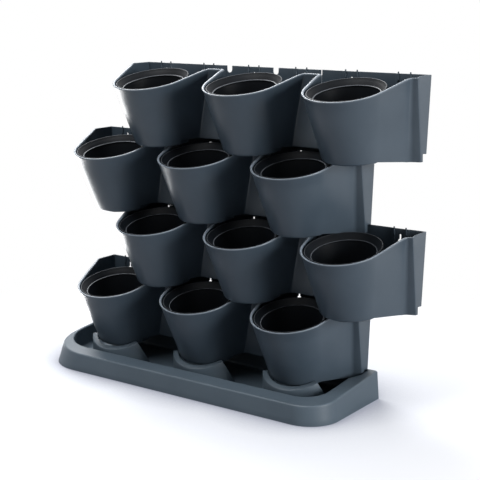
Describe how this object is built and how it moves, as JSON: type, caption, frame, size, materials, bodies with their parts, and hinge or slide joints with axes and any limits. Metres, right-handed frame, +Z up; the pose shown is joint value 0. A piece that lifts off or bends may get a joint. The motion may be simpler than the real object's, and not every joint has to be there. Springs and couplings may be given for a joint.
{
  "type": "vertical planter tower",
  "caption": "Free-standing planter tower of stacked moulded rows of pots, stepped to either side, with loose pot inserts, on a rounded drip tray with a sloping rim.",
  "frame": {"origin": "middle of the whole tower's box, on the ground", "axes": "+Z up, +X along the rows to the right as seen from the front, +Y from the pots to the wall"},
  "size_m": [0.677, 0.186, 0.5417],
  "materials": {
    "row_plastic": "satin moulded plastic, anthracite grey",
    "tray_plastic": "satin moulded plastic, anthracite grey",
    "insert_plastic": "matt moulded plastic, near black"
  },
  "bodies": {
    "tray": {"drip_tray": "tray_plastic"},
    "bottom_row": {"bottom_row": "row_plastic"},
    "bottom_row_left_insert": {"bottom_row_left_insert": "insert_plastic"},
    "bottom_row_middle_insert": {"bottom_row_middle_insert": "insert_plastic"},
    "bottom_row_right_insert": {"bottom_row_right_insert": "insert_plastic"},
    "lower_middle_row": {"lower_middle_row": "row_plastic"},
    "lower_middle_row_left_insert": {"lower_middle_row_left_insert": "insert_plastic"},
    "lower_middle_row_middle_insert": {"lower_middle_row_middle_insert": "insert_plastic"},
    "lower_middle_row_right_insert": {"lower_middle_row_right_insert": "insert_plastic"},
    "upper_middle_row": {"upper_middle_row": "row_plastic"},
    "upper_middle_row_left_insert": {"upper_middle_row_left_insert": "insert_plastic"},
    "upper_middle_row_middle_insert": {"upper_middle_row_middle_insert": "insert_plastic"},
    "upper_middle_row_right_insert": {"upper_middle_row_right_insert": "insert_plastic"},
    "top_row": {"top_row": "row_plastic"},
    "top_row_left_insert": {"top_row_left_insert": "insert_plastic"},
    "top_row_middle_insert": {"top_row_middle_insert": "insert_plastic"},
    "top_row_right_insert": {"top_row_right_insert": "insert_plastic"}
  },
  "joints": [
    {"name": "bottom_row_lift", "type": "slide", "parent": "tray", "child": "bottom_row", "axis": [0, 0, 1], "range_m": [0, 0.06]},
    {"name": "bottom_row_left_insert_lift", "type": "slide", "parent": "bottom_row", "child": "bottom_row_left_insert", "axis": [0, -0.2284, 0.9736], "range_m": [0, 0.004]},
    {"name": "bottom_row_middle_insert_lift", "type": "slide", "parent": "bottom_row", "child": "bottom_row_middle_insert", "axis": [0, -0.2284, 0.9736], "range_m": [0, 0.004]},
    {"name": "bottom_row_right_insert_lift", "type": "slide", "parent": "bottom_row", "child": "bottom_row_right_insert", "axis": [0, -0.2284, 0.9736], "range_m": [0, 0.004]},
    {"name": "lower_middle_row_lift", "type": "slide", "parent": "bottom_row", "child": "lower_middle_row", "axis": [0, 0, 1], "range_m": [0, 0.06]},
    {"name": "lower_middle_row_left_insert_lift", "type": "slide", "parent": "lower_middle_row", "child": "lower_middle_row_left_insert", "axis": [0, -0.2284, 0.9736], "range_m": [0, 0.004]},
    {"name": "lower_middle_row_middle_insert_lift", "type": "slide", "parent": "lower_middle_row", "child": "lower_middle_row_middle_insert", "axis": [0, -0.2284, 0.9736], "range_m": [0, 0.004]},
    {"name": "lower_middle_row_right_insert_lift", "type": "slide", "parent": "lower_middle_row", "child": "lower_middle_row_right_insert", "axis": [0, -0.2284, 0.9736], "range_m": [0, 0.004]},
    {"name": "upper_middle_row_lift", "type": "slide", "parent": "lower_middle_row", "child": "upper_middle_row", "axis": [0, 0, 1], "range_m": [0, 0.06]},
    {"name": "upper_middle_row_left_insert_lift", "type": "slide", "parent": "upper_middle_row", "child": "upper_middle_row_left_insert", "axis": [0, -0.2284, 0.9736], "range_m": [0, 0.004]},
    {"name": "upper_middle_row_middle_insert_lift", "type": "slide", "parent": "upper_middle_row", "child": "upper_middle_row_middle_insert", "axis": [0, -0.2284, 0.9736], "range_m": [0, 0.004]},
    {"name": "upper_middle_row_right_insert_lift", "type": "slide", "parent": "upper_middle_row", "child": "upper_middle_row_right_insert", "axis": [0, -0.2284, 0.9736], "range_m": [0, 0.004]},
    {"name": "top_row_lift", "type": "slide", "parent": "upper_middle_row", "child": "top_row", "axis": [0, 0, 1], "range_m": [0, 0.06]},
    {"name": "top_row_left_insert_lift", "type": "slide", "parent": "top_row", "child": "top_row_left_insert", "axis": [0, -0.2284, 0.9736], "range_m": [0, 0.13]},
    {"name": "top_row_middle_insert_lift", "type": "slide", "parent": "top_row", "child": "top_row_middle_insert", "axis": [0, -0.2284, 0.9736], "range_m": [0, 0.13]},
    {"name": "top_row_right_insert_lift", "type": "slide", "parent": "top_row", "child": "top_row_right_insert", "axis": [0, -0.2284, 0.9736], "range_m": [0, 0.13]}
  ]
}
